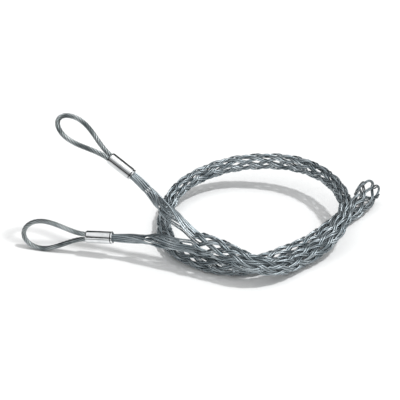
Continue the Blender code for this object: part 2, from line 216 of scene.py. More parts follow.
@dataclass
class Weave:
    """The woven tube's route, and where each strand runs round it."""

    bands: int = 6
    strand: float = 0.0017
    strand_gap: float = 0.0002
    mesh_radius: float = 0.0075
    crossing_pitch: float = 0.0121
    turn_gap: float = 0.0003
    loop_length: float = 0.0072
    loop_start: float = 0.0027
    loop_steps: int = 14
    steps_per_crossing: int = 4
    head_lean: float = math.radians(42)
    path: Path3D = field(init=False)
    stations: int = field(init=False)
    pitch: float = field(init=False)
    twist: float = field(init=False)

    def __post_init__(self) -> None:
        """Lays the route and fits a whole number of crossings on it."""
        self.pitch = self.crossing_pitch
        self.twist = math.pi / (self.bands * self.pitch)
        layer = 2 * self.outer_radius(self.mesh_radius) + self.turn_gap
        points = []
        for x, y, lift, girth in ROUTE:
            radius = girth * self.mesh_radius
            points.append((x, y, lift * layer + self.outer_radius(radius), radius))
        samples = spline_through(points, ROUTE_STEP)
        start = unit(samples[1, :3] - samples[0, :3])
        level = unit(np.cross(start, (0.0, 0.0, 1.0)))
        down = np.cross(start, level)
        down *= -np.sign(down[2])
        lower_side = level * math.cos(self.head_lean) + down * math.sin(self.head_lean)
        self.path = Path3D(samples, lower_side)
        self.stations = round(self.path.length / self.crossing_pitch)
        self.pitch = self.path.length / self.stations
        self.twist = math.pi / (self.bands * self.pitch)

    @property
    def spacing(self) -> float:
        """Distance between the middles of two strands side by side."""
        return self.strand + self.strand_gap

    def pair_angle(self, radius: Array | float) -> Array | float:
        """Half the angle between the two strands of a pair."""
        return self.spacing / 2 * np.hypot(1.0, radius * self.twist) / radius

    def amplitude(self, radius: Array | float) -> Array | float:
        """How far a strand passes over or under the weave's middle."""
        shift = self.pair_angle(radius) / self.twist
        return self.spacing / 2 / (1 - shift / self.pitch)

    def outer_radius(self, radius: float) -> float:
        """Radius of the tube over its outermost strands."""
        return float(radius + self.amplitude(radius) + self.strand / 2)

    def radius(self, s: Array | float) -> Array:
        """Radius of the weave's middle at lengths along the tube."""
        return self.path.read(self.path.extra, np.atleast_1d(s))[:, 0]

    def place(self, s: Array, angle: Array, rise: Array) -> Array:
        """Puts points on the tube.

        Args:
            s: Lengths along the tube.
            angle: Angles round it.
            rise: Heights over the weave's middle.

        Returns:
            The points, one row each.
        """
        centres, _, normals, sides = self.path.frames(s)
        radii = (self.radius(s) + rise)[:, None]
        return centres + radii * (np.cos(angle)[:, None] * normals + np.sin(angle)[:, None] * sides)

    def leg(self, band: int, way: Way, twin: int) -> Array:
        """Middle of one strand, from the first ring of crossings to the last.

        Args:
            band: Number of the strand's pair round the tube.
            way: Direction in which the pair goes round.
            twin: 1 or -1 for the two strands of the pair.

        Returns:
            Points of the strand's middle.
        """
        turn = way.value
        u = np.linspace(0, self.stations, self.stations * self.steps_per_crossing + 1)
        radius = self.radius(u * self.pitch)
        half = self.pair_angle(radius)
        s = u * self.pitch - turn * twin * half / (2 * self.twist)
        angle = 2 * math.pi * band / self.bands + turn * self.twist * s + twin * half
        rise = turn * np.cos(math.pi * u) * self.amplitude(radius)
        return self.place(s, angle, rise)

    def end_loop(self, band: int, twin: int) -> Array:
        """Middle of the loop in which a strand turns back at the mouth.

        Args:
            band: Number of the strand's pair round the tube.
            twin: 1 or -1 for the two strands of the pair.

        Returns:
            Points of the strand's middle.
        """
        start = self.path.length + self.loop_start
        radius = float(self.radius(self.path.length)[0])
        half = self.pair_angle(radius)
        middle = 2 * math.pi * band / self.bands + self.twist * (self.path.length + self.pitch)
        width = self.twist * (self.pitch - self.loop_start) - twin * half
        length = self.loop_length - twin * self.spacing / 2
        over = (-1) ** self.stations * self.amplitude(radius)
        over *= 1 - 2 * self.loop_start / self.pitch
        turn = np.linspace(0.0, math.pi, self.loop_steps + 1)
        angle = middle - width * np.cos(turn)
        return self.place(start + length * np.sin(turn), angle, over * np.cos(turn))

    def head_angle(self, band: int, way: Way) -> float:
        """Where a pair stands round the tube, half a crossing before the first crossings."""
        angle = 2 * math.pi * band / self.bands - way.value * self.twist * self.pitch / 2
        return (angle + math.pi) % (2 * math.pi) - math.pi


@dataclass
class EyeShape:
    """The place of one ferrule and the outline of the rope eye that it holds."""

    seat: Seat
    eye_length: float
    centre: Vector
    axis: Vector
    width_axis: Vector
    ferrule_length: float = 0.030
    rope: float = 0.0052
    rope_gap: float = 0.0003
    rope_depth: float = 0.0175
    eye_width: float = 0.0300
    crown_share: float = 0.30
    leg_steps: int = 60
    arc_steps: int = 90

    def __post_init__(self) -> None:
        """Squares the width to the axis."""
        self.axis = self.axis.normalized()
        self.width_axis = (self.width_axis - self.axis * self.width_axis.dot(self.axis)).normalized()

    @property
    def leg_offset(self) -> float:
        """Distance of a rope leg's middle from the ferrule's middle."""
        return (self.rope + self.rope_gap) / 2

    @property
    def mesh_end(self) -> Vector:
        """Middle of the ferrule's end that faces the woven tube."""
        return self.centre - self.axis * self.ferrule_length / 2

    @property
    def eye_end(self) -> Vector:
        """Middle of the ferrule's end that faces the eye."""
        return self.centre + self.axis * self.ferrule_length / 2

    @property
    def strand_depth(self) -> float:
        """How far the strand ends go into the ferrule."""
        return self.ferrule_length - self.rope_depth - self.rope_gap

    def matrix(self) -> Matrix:
        """Frame of the ferrule: x across the eye, z along the ferrule towards the eye.

        Returns:
            The matrix that puts the ferrule in its place.
        """
        thick = self.axis.cross(self.width_axis)
        rows = Matrix((self.width_axis, thick, self.axis)).transposed()
        return Matrix.Translation(self.centre) @ rows.to_4x4()

    def rope_points(self, step: float) -> Array:
        """Middle of the rope, from one end in the ferrule round the eye to the other.

        Args:
            step: Distance between two points, in metres.

        Returns:
            Points of the rope's middle.
        """
        widest = self.eye_length * (1 - self.crown_share)
        crown = self.eye_length * self.crown_share
        half = self.eye_width / 2
        leg = [(-self.rope_depth, self.leg_offset)]
        for n in range(self.leg_steps + 1):
            along = widest * n / self.leg_steps
            opened = (half - self.leg_offset) * smooth(along / widest)
            leg.append((along, self.leg_offset + opened))
        arc = []
        for n in range(1, self.arc_steps):
            angle = math.pi * n / self.arc_steps
            arc.append((widest + crown * math.sin(angle), half * math.cos(angle)))
        outline = np.array(leg + arc + [(a, -w) for a, w in reversed(leg)])
        gaps = np.linalg.norm(np.diff(outline, axis=0), axis=1)
        lengths = np.concatenate([[0.0], np.cumsum(gaps)])
        at = np.linspace(0.0, lengths[-1], round(lengths[-1] / step) + 1)
        along = np.interp(at, lengths, outline[:, 0])[:, None]
        across = np.interp(at, lengths, outline[:, 1])[:, None]
        return np.array(self.eye_end) + np.array(self.axis) * along + np.array(self.width_axis) * across

    def rest_on_surface(self) -> None:
        """Gives the ferrule the height at which its eye rests on the surface."""
        lowest = self.rope_points(ROUTE_STEP)[:, 2].min()
        self.centre = self.centre + Vector((0.0, 0.0, self.rope / 2 - lowest))


@dataclass
class Bundle:
    """Strand ends between one half of the tube's head and a ferrule."""

    weave: Weave
    bands: tuple[int, ...]
    middle: float
    eye: EyeShape
    pitch: float = 0.00188
    rows: tuple[int, ...] = (-1, 1, -1, 1, 1, -1)
    slack: float = 0.40
    twist: float = math.radians(150)
    twist_start: float = 0.15
    fan_length: float = 0.66
    fan_curve: float = 0.72
    head_handle: float = 0.08
    ferrule_handle: float = 0.30
    steps: int = 26
    route_steps: int = 200

    def __post_init__(self) -> None:
        """Lays the bundle's route and sorts its pairs by their place round the tube."""
        weave = self.weave
        self.radius = float(weave.radius(0.0)[0])
        places = [(self.from_middle(b, way), b, way.value) for b in self.bands for way in Way]
        self.order = {(b, Way(w)): n for n, (_, b, w) in enumerate(sorted(places))}
        centres, tangents, normals, _ = weave.path.frames(-weave.pitch / 2)
        start, tangent, normal = centres[0], tangents[0], normals[0]
        mouth = np.array(self.eye.mesh_end)
        axis = np.array(self.eye.axis)
        apart = np.linalg.norm(mouth - start)
        leaving = start - tangent * self.head_handle * apart
        control = [start, leaving, mouth - axis * self.ferrule_handle * apart, mouth]
        t = np.linspace(0.0, 1.0, self.route_steps)[:, None]
        way_there = control[0] * (1 - t)**3 + 3 * control[1] * t * (1 - t)**2
        way_there = way_there + 3 * control[2] * t**2 * (1 - t) + control[3] * t**3
        self.path = Path3D(way_there, normal * math.cos(self.middle))
        _, tangents, normals, _ = self.path.frames(self.path.length)
        across = np.cross(normals[0], tangents[0])
        width = np.array(self.eye.width_axis)
        if np.dot(across, width) < 0:
            width = -width
        square = math.atan2(np.dot(width, normals[0]), np.dot(width, across)) - math.pi / 2
        self.turn = square + math.pi * round((self.twist - square) / math.pi)

    def from_middle(self, band: int, way: Way) -> float:
        """Angle of a pair from the middle of the bundle's half of the head."""
        angle = self.weave.head_angle(band, way) - self.middle
        return (angle + math.pi) % (2 * math.pi) - math.pi

    def strand(self, band: int, way: Way, twin: int) -> Array:
        """Middle of one strand end, from its place in the ferrule to the tube.

        Args:
            band: Number of the strand's pair round the tube.
            way: Direction in which the pair goes round.
            twin: 1 or -1 for the two strands of the pair.

        Returns:
            Points of the strand's middle.
        """
        angle = self.from_middle(band, way)
        column = (self.order[band, way] // 2 - 1) * self.pitch
        row = self.rows[self.order[band, way]] * self.pitch
        open_half = self.weave.pair_angle(self.radius) * self.radius
        stacked = math.copysign(math.pi / 2, -angle)
        points = []
        for share in np.linspace(0.0, 1.0, self.steps + 1):
            open_share = max(0.0, 1 - share / self.fan_length) ** self.fan_curve
            slack = 1 + self.slack * math.sin(math.pi * share)
            x = column * slack * (1 - open_share) + self.radius * math.sin(angle) * open_share
            y = row * slack * (1 - open_share) + self.radius * math.cos(angle) * open_share
            lean = stacked + (-angle - stacked) * open_share
            half = self.pitch / 2 * slack * (1 - open_share) + open_half * open_share
            x += twin * half * math.cos(lean)
            y += twin * half * math.sin(lean)
            turn = self.turn * smooth((share - self.twist_start) / (1 - self.twist_start))
            points.append(self.place(share * self.path.length, x, y, turn))
        points.append(self.place(self.path.length + self.eye.strand_depth, x, y, self.turn))
        return np.array(points[::-1])

    def place(self, s: float, x: float, y: float, turn: float) -> Array:
        """Puts a point beside the bundle's route, in a frame that turns along it.

        Args:
            s: Length along the route.
            x: Distance from the route across the frame.
            y: Distance from the route along the frame's normal.
            turn: Angle by which the frame has turned there.

        Returns:
            The point.
        """
        centres, tangents, normals, _ = self.path.frames(s)
        across = np.cross(normals[0], tangents[0])
        x_axis = across * math.cos(turn) + normals[0] * math.sin(turn)
        y_axis = normals[0] * math.cos(turn) - across * math.sin(turn)
        return centres[0] + x * x_axis + y * y_axis


# Making meshes

def select_only(piece: Object) -> None:
    """Selects one object alone and makes it the active one.

    Args:
        piece: The object.
    """
    bpy.ops.object.select_all(action="DESELECT")
    piece.select_set(True)
    bpy.context.view_layer.objects.active = piece


def edit_edges(piece: Object, wanted: Callable[[float], bool]) -> None:
    """Opens a piece for editing with only some of its edges selected.

    Args:
        piece: The object.
        wanted: Test of a corner's height. An edge is selected when both its corners pass.
    """
    select_only(piece)
    bpy.ops.object.mode_set(mode="EDIT")
    bpy.ops.mesh.select_mode(type="EDGE")
    bpy.ops.mesh.select_all(action="DESELECT")
    bpy.ops.object.mode_set(mode="OBJECT")
    vertices = piece.data.vertices
    for edge in piece.data.edges:
        edge.select = all(wanted(vertices[n].co.z) for n in edge.vertices)
    bpy.ops.object.mode_set(mode="EDIT")


def mark_vertices(mesh: Mesh, name: str, values: Array | list[float]) -> None:
    """Stores one number for each vertex of a mesh."""
    mesh.attributes.new(name, "FLOAT", "POINT").data.foreach_set("value", values)


def swept_wire(route: Array, radius: float, corners: int, core: Array | None) -> tuple[Array, ...]:
    """Sweeps one round wire along its route.

    Args:
        route: Middle of the wire.
        radius: Radius of the wire.
        corners: Corners of its section.
        core: Middle that the wire is wound round, with a point for each of the route's.

    Returns:
        The vertices, the faces round the wire, the UV of their corners, and how far each
        vertex faces the core, which is the mask of painted shade in the grooves: 1 towards it, 0
        away from it, and 0 where there is none.
    """
    tangent = unit(route[1] - route[0])
    helper = np.array([0.0, 0.0, 1.0]) if abs(tangent[2]) < STEEP else np.array([1.0, 0.0, 0.0])
    path = Path3D(route + SHIFT, np.cross(tangent, helper))
    sides = np.cross(path.tangents, path.normals)
    around = 2 * np.pi * np.arange(corners) / corners
    ring = np.cos(around)[None, :, None] * path.normals[:, None, :]
    ring = ring + np.sin(around)[None, :, None] * sides[:, None, :]
    vertices = (path.points[:, None, :] + radius * ring).reshape(-1, 3)
    # Mask of painted shade in the grooves: how far each vertex faces the core
    groove_shades = np.zeros(len(vertices))
    if core is not None:
        outward = route - core
        outward = outward / np.maximum(np.linalg.norm(outward, axis=1, keepdims=True), TINY)
        groove_shades = 0.5 - np.sum(ring * outward[:, None, :], axis=2).ravel() / 2
    spans = len(route) - 1
    k = np.arange(spans)[:, None] * corners
    n = np.arange(corners)[None, :]
    after = (n + 1) % corners
    quads = np.stack([k + n, k + after, k + corners + after, k + corners + n], axis=-1)
    u0 = np.broadcast_to(n / corners, (spans, corners))
    u1 = u0 + 1 / corners
    v0 = np.broadcast_to(path.at[:-1, None], (spans, corners))
    v1 = np.broadcast_to(path.at[1:, None], (spans, corners))
    uvs = np.stack([u0, v0, u1, v0, u1, v1, u0, v1], axis=-1)
    return vertices, quads.reshape(-1, 4), uvs.reshape(-1, 2), groove_shades


def wound_mesh(name: str, routes: list[Array], radius: float, corners: int,
               core: Array | None = None) -> Object:
    """Sweeps round wires along routes, as one object with a UV map that follows them.

    Args:
        name: Name of the object.
        routes: Middle of each wire.
        radius: Radius of the wires.
        corners: Corners of each wire's section.
        core: Middle that the wires are wound round, with a point for each of theirs.

    Returns:
        The object. U goes once round a wire and V is the length along it, in metres. Its
        attribute of painted shade in the grooves is 1 where a wire faces the core and 0 where
        it faces away.
    """
    vertices, faces, uvs, groove_shades = [], [], [], []
    first = 0
    for route in routes:
        places, quads, quad_uvs, facing = swept_wire(route, radius, corners, core)
        last = first + len(places) - corners
        faces += (quads + first).tolist()
        faces.append(list(range(first, first + corners))[::-1])
        faces.append(list(range(last, last + corners)))
        vertices.append(places)
        uvs += [quad_uvs, np.zeros((2 * corners, 2))]
        groove_shades.append(facing)
        first += len(places)
    mesh = bpy.data.meshes.new(name)
    mesh.from_pydata(np.concatenate(vertices).tolist(), [], faces)
    layer = mesh.uv_layers.new(name="lay")
    layer.data.foreach_set("uv", np.concatenate(uvs).ravel())
    mesh.polygons.foreach_set("use_smooth", [len(face) == 4 for face in faces])
    mark_vertices(mesh, "groove_shade", np.concatenate(groove_shades))
    piece = bpy.data.objects.new(name, mesh)
    bpy.context.scene.collection.objects.link(piece)
    return piece


# Finishes, with painted shade and painted reflections

def math_node(tree: NodeTree, operation: str, a: NodeSocket | float,
              b: NodeSocket | float = 0.0) -> NodeSocket:
    """Adds a Math node.

    Args:
        tree: Where the node goes.
        operation: What the node does.
        a: Its first value, or the socket that gives it.
        b: Its second value, or the socket that gives it.

    Returns:
        The node's output.
    """
    node = tree.nodes.new("ShaderNodeMath")
    node.operation = operation
    for socket, value in zip(node.inputs, (a, b)):
        if isinstance(value, NodeSocket):
            tree.links.new(value, socket)
        else:
            socket.default_value = value
    return node.outputs[0]


def mix_colours(tree: NodeTree, share: NodeSocket,
                a: Colour | NodeSocket, b: Colour | NodeSocket) -> NodeSocket:
    """Adds a colour Mix node.

    Args:
        tree: Where the node goes.
        share: Share of the second colour.
        a: The first colour, or the socket that gives it.
        b: The second colour, or the socket that gives it.

    Returns:
        The node's output.
    """
    node = tree.nodes.new("ShaderNodeMix")
    node.data_type = "RGBA"
    tree.links.new(share, node.inputs["Factor"])
    for name, value in (("A", a), ("B", b)):
        socket = next(s for s in node.inputs if s.name == name and s.type == "RGBA")
        if isinstance(value, NodeSocket):
            tree.links.new(value, socket)
        else:
            socket.default_value = (*value, 1.0)
    return next(s for s in node.outputs if s.type == "RGBA")


def map_range(tree: NodeTree, value: NodeSocket, low_high: Span, to: Span) -> NodeSocket:
    """Adds a Map Range node.

    Args:
        tree: Where the node goes.
        value: The socket that gives the value.
        low_high: Range of the value.
        to: Range that it is mapped to.

    Returns:
        The node's output.
    """
    node = tree.nodes.new("ShaderNodeMapRange")
    for name, number in zip(("From Min", "From Max", "To Min", "To Max"), (*low_high, *to)):
        node.inputs[name].default_value = number
    tree.links.new(value, node.inputs["Value"])
    return node.outputs["Result"]


def place_group(tree: NodeTree, group: NodeTree, values: dict[str, float]) -> Node:
    """Places a node group in a material.

    Args:
        tree: The material's nodes.
        group: The group.
        values: The material's own values for the group's inputs.

    Returns:
        The group's node.
    """
    node = tree.nodes.new("ShaderNodeGroup")
    node.node_tree = group
    for name, value in values.items():
        node.inputs[name].default_value = value
    return node


def read_attribute(tree: NodeTree, name: str) -> NodeSocket:
    """Adds a node that reads a number stored in the mesh.

    Args:
        tree: Where the node goes.
        name: Name of the attribute.

    Returns:
        The node's output.
    """
    node = tree.nodes.new("ShaderNodeAttribute")
    node.attribute_name = name
    return node.outputs["Fac"]


def link_metal(material: Material, colour: NodeSocket, rough: NodeSocket,
               height: NodeSocket, depth: float, metallic: float) -> None:
    """Links a metal's colour, roughness and relief to its shader.

    Args:
        material: The material.
        colour: Socket of its colour.
        rough: Socket of its roughness.
        height: Socket of its relief.
        depth: Depth of the relief, in metres.
        metallic: How metallic it is.
    """
    tree = material.node_tree
    shader = tree.nodes["Principled BSDF"]
    shader.inputs["Metallic"].default_value = metallic
    bump = tree.nodes.new("ShaderNodeBump")
    bump.inputs["Distance"].default_value = depth
    tree.links.new(height, bump.inputs["Height"])
    tree.links.new(colour, shader.inputs["Base Color"])
    tree.links.new(rough, shader.inputs["Roughness"])
    tree.links.new(bump.outputs["Normal"], shader.inputs["Normal"])


def new_group(name: str, inputs: dict[str, float], outputs: tuple[str, ...]
              ) -> tuple[NodeTree, Node, Node]:
    """Makes a node group with nothing in it yet.

    Args:
        name: Name of the group.
        inputs: Its inputs, each with its value where nothing is linked.
        outputs: Its outputs.

    Returns:
        The group, its input node and its output node.
    """
    tree = bpy.data.node_groups.new(name, "ShaderNodeTree")
    for label, default in inputs.items():
        socket = tree.interface.new_socket(name=label, in_out="INPUT", socket_type="NodeSocketFloat")
        socket.default_value = default
    for label in outputs:
        tree.interface.new_socket(name=label, in_out="OUTPUT", socket_type="NodeSocketFloat")
    return tree, tree.nodes.new("NodeGroupInput"), tree.nodes.new("NodeGroupOutput")


def build_lay_group() -> NodeTree:
    """Builds the group that draws the wires of a laid strand from its UV map.

    Returns:
        The group: it puts out the height of the wires and a mask of the valleys between them,
        which the wire finish uses for painted shade.
    """
    tree, inside, outside = new_group("wire lay", {"Wires": 6.0, "Lay Length": 0.014},
                                      ("Height", "Valley Shade"))
    uv = tree.nodes.new("ShaderNodeUVMap")
    uv.uv_map = "lay"
    split = tree.nodes.new("ShaderNodeSeparateXYZ")
    tree.links.new(uv.outputs["UV"], split.inputs[0])
    turns = math_node(tree, "DIVIDE", split.outputs["Y"], inside.outputs["Lay Length"])
    phase = math_node(tree, "ADD", split.outputs["X"], turns)
    phase = math_node(tree, "MULTIPLY", phase, inside.outputs["Wires"])
    wave = math_node(tree, "SINE", math_node(tree, "MULTIPLY", phase, math.pi))
    height = math_node(tree, "ABSOLUTE", wave)
    depth = math_node(tree, "SUBTRACT", 1.0, height)
    valley_shade = math_node(tree, "POWER", depth, VALLEY_SHARPNESS)
    tree.links.new(height, outside.inputs["Height"])
    tree.links.new(valley_shade, outside.inputs["Valley Shade"])
    return tree


def build_weather_group() -> NodeTree:
    """Builds the group that puts clouds and specks on a metal.

    Returns:
        The group: it puts out a slow cloud, and a mask of small dull specks.
    """
    tree, inside, outside = new_group("metal weather", {"Cloud Scale": 60.0, "Speck Scale": 900.0},
                                      ("Cloud", "Specks"))
    place = tree.nodes.new("ShaderNodeTexCoord")
    noises = []
    for scale, detail in (("Cloud Scale", CLOUD_DETAIL), ("Speck Scale", SPECK_DETAIL)):
        noise = tree.nodes.new("ShaderNodeTexNoise")
        noise.inputs["Detail"].default_value = detail
        tree.links.new(place.outputs["Object"], noise.inputs["Vector"])
        tree.links.new(inside.outputs[scale], noise.inputs["Scale"])
        noises.append(noise.outputs["Fac"])
    tree.links.new(noises[0], outside.inputs["Cloud"])
    tree.links.new(map_range(tree, noises[1], SPECK_RANGE, FULL), outside.inputs["Specks"])
    return tree


@dataclass(frozen=True)
class GalvanisedWire:
    """Drawn galvanised wire, laid into strands, with painted shade in the valleys between its
    wires and where a rope's strands face its core, and painted darker round the mouth and
    below the upper eye.
    """

    name: str = "galvanised wire"
    light: Colour = (0.52, 0.575, 0.605)
    dark: Colour = (0.24, 0.285, 0.31)
    # Dark colour of the painted shade, and of the painted darkening round the mouth
    painted_dark: Colour = (0.045, 0.055, 0.06)
    # Most share of the dark colour round the mouth and in the painted shade below the upper eye
    dark_mouth_and_shade: float = 0.55
    metallic: float = 0.9
    smoothest: float = 0.36
    roughest: float = 0.50
    cloud_scale: float = 60.0
    speck_scale: float = 900.0
    cloud_range: Span = (0.35, 0.65)
    # Range of the mask of painted shade where a rope's strands face its core
    groove_shade_range: Span = (0.08, 0.34)
    wires: float = 6.0
    lay_length: float = 0.011
    depth: float = 0.00003

    def build(self, lay: NodeTree, weather: NodeTree) -> Material:
        """Builds the material.

        Args:
            lay: The group that draws the wires.
            weather: The group of clouds and specks.

        Returns:
            The material.
        """
        material = bpy.data.materials.new(self.name)
        material.use_nodes = True
        tree = material.node_tree
        wires = place_group(tree, lay, {"Wires": self.wires, "Lay Length": self.lay_length})
        worn = place_group(tree, weather, {"Cloud Scale": self.cloud_scale,
                                           "Speck Scale": self.speck_scale})
        cloud = map_range(tree, worn.outputs["Cloud"], self.cloud_range, FULL)
        colour = mix_colours(tree, cloud, self.dark, self.light)
        # Painted shade in the valleys between the wires
        colour = mix_colours(tree, wires.outputs["Valley Shade"], colour, self.painted_dark)
        # Painted darker round the mouth, and painted shade below the upper eye
        dark_mouth_and_shade = map_range(tree, read_attribute(tree, "dark_mouth_and_shade"), FULL, (0.0, self.dark_mouth_and_shade))
        colour = mix_colours(tree, dark_mouth_and_shade, colour, self.painted_dark)
        # Painted shade where a rope's strands face its core
        groove_shade = map_range(tree, read_attribute(tree, "groove_shade"), self.groove_shade_range, FULL)
        colour = mix_colours(tree, groove_shade, colour, self.painted_dark)
        rough = map_range(tree, worn.outputs["Specks"], FULL, (self.smoothest, self.roughest))
        link_metal(material, colour, rough, wires.outputs["Height"], self.depth, self.metallic)
        return material


@dataclass(frozen=True)
class PressedAluminium:
    """Bright pressed aluminium, with fine scuffs, painted shade in its groove, and a painted
    reflection: a dark band along each side.
    """

    name: str = "pressed aluminium"
    bright: Colour = (0.80, 0.815, 0.825)
    dull: Colour = (0.58, 0.595, 0.61)
    # Dark colour of the painted shade in the groove and of the painted reflection band
    painted_dark: Colour = (0.05, 0.055, 0.06)
    # Share of the dark colour at the middle of the painted reflection band
    painted_band_darkness: float = 0.75
    smoothest: float = 0.10
    roughest: float = 0.22
    scuff: float = 0.000006
    metallic: float = 1.0
    cloud_scale: float = 140.0
    speck_scale: float = 1500.0
    cloud_range: Span = (0.4, 0.7)
    cloud_share: float = 0.6
    # Distances, in half band widths, over which the painted reflection band fades
    painted_band_edge: Span = (0.6, 1.4)

    def build(self, weather: NodeTree) -> Material:
        """Builds the material.

        Args:
            weather: The group of clouds and specks.

        Returns:
            The material.
        """
        material = bpy.data.materials.new(self.name)
        material.use_nodes = True
        tree = material.node_tree
        worn = place_group(tree, weather, {"Cloud Scale": self.cloud_scale,
                                           "Speck Scale": self.speck_scale})
        cloud = map_range(tree, worn.outputs["Cloud"], self.cloud_range, (0.0, self.cloud_share))
        colour = mix_colours(tree, cloud, self.bright, self.dull)
        # Painted reflection: a dark band along each side of the sleeve
        distance = math_node(tree, "ABSOLUTE", read_attribute(tree, "painted_band_offset"))
        painted_band = map_range(tree, distance, self.painted_band_edge, (self.painted_band_darkness, 0.0))
        colour = mix_colours(tree, painted_band, colour, self.painted_dark)
        # Painted shade in the lip's groove
        colour = mix_colours(tree, read_attribute(tree, "groove_shade"), colour, self.painted_dark)
        rough = map_range(tree, worn.outputs["Specks"], FULL, (self.smoothest, self.roughest))
        link_metal(material, colour, rough, worn.outputs["Specks"], self.scuff, self.metallic)
        return material


# Sub-assemblies

@dataclass
class WovenTube:
    """The strands: the woven tube, its end loops and its two bundles."""

    weave: Weave
    bundles: list[Bundle]
    sample_step: float = 0.0017
    corners: int = 8
    radius_share: float = 0.51
    # Reach and fade of the painted darkening round the mouth, and share and reach of the painted shade
    # below the upper eye
    mouth_dark_reach: float = 0.045
    darkening_fade: float = 0.030
    head_shade: float = 0.35
    head_shade_reach: float = 0.070

    def build(self, finish: Material) -> list[Object]:
        """Makes each strand as one piece.

        Args:
            finish: Material of the strands.

        Returns:
            The strands' objects, in the order of their nodes.
        """
        strands = []
        weave = self.weave
        for band in range(weave.bands):
            back = (band + weave.stations + 1) % weave.bands
            for twin in (1, -1):
                out_bundle = next(b for b in self.bundles if (band, Way.RIGHT) in b.order)
                back_bundle = next(b for b in self.bundles if (back, Way.LEFT) in b.order)
                route = np.concatenate([
                    out_bundle.strand(band, Way.RIGHT, twin),
                    weave.leg(band, Way.RIGHT, twin),
                    weave.end_loop(band, twin),
                    weave.leg(back, Way.LEFT, -twin)[::-1],
                    back_bundle.strand(back, Way.LEFT, -twin)[::-1],
                ])
                route = spline_through(route, self.sample_step)
                number = len(strands) + 1
                strand = wound_mesh(f"wire_strand_{number:02d}", [route],
                                    weave.strand * self.radius_share, self.corners)
                self.dark_mouth_and_shade(strand)
                strand.data.materials.append(finish)
                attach(strand, "root")
                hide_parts(f"strand_{number:02d}")
                strands.append(strand)
                LOG.info("strand %02d: %d faces", number, len(strand.data.polygons))
        return strands

    def dark_mouth_and_shade(self, strand: Object) -> None:
        """Marks where a strand is painted darker: round the mouth, and below the upper eye, where
        the darkening is painted shade.

        Args:
            strand: The strand's object.
        """
        places = np.empty(len(strand.data.vertices) * 3)
        strand.data.vertices.foreach_get("co", places)
        places = places.reshape(-1, 3) - SHIFT
        darkenings = []
        for centre, reach, share in ((self.weave.path.points[-1], self.mouth_dark_reach, 1.0),
                                     (np.array(self.bundles[-1].eye.mesh_end), self.head_shade_reach,
                                      self.head_shade)):
            away = np.linalg.norm(places - centre, axis=1)
            darkenings.append(share * np.clip((reach - away) / self.darkening_fade, 0.0, 1.0))
        mark_vertices(strand.data, "dark_mouth_and_shade", np.maximum(*darkenings))


@dataclass
class RopeEye:
    """One eye of laid wire rope."""

    shape: EyeShape
    outer_strands: int = 6
    strands_across: int = 3
    lay_length: float = 0.026
    sample_step: float = 0.0009
    corners: int = 10

    def build(self, finish: Material) -> Object:
        """Makes the rope as strands wound round a core strand.

        Args:
            finish: Material of the rope.

        Returns:
            The rope's object.
        """
        middle = self.shape.rope_points(self.sample_step)
        path = Path3D(middle, np.array(self.shape.axis.cross(self.shape.width_axis)))
        sides = np.cross(path.tangents, path.normals)
        strand_radius = self.shape.rope / self.strands_across / 2
        routes = [middle]
        for n in range(self.outer_strands):
            angle = 2 * math.pi * (path.at / self.lay_length + n / self.outer_strands)
            swing = np.cos(angle)[:, None] * path.normals + np.sin(angle)[:, None] * sides
            routes.append(middle + 2 * strand_radius * swing)
        rope = wound_mesh(f"wire_rope_{self.shape.seat.value}", routes, strand_radius, self.corners, middle)
        rope.data.materials.append(finish)
        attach(rope, "root")
        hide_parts(f"eye_rope_{self.shape.seat.value}")
        LOG.info("rope eye %s: %d faces", self.shape.seat.value, len(rope.data.polygons))
        return rope


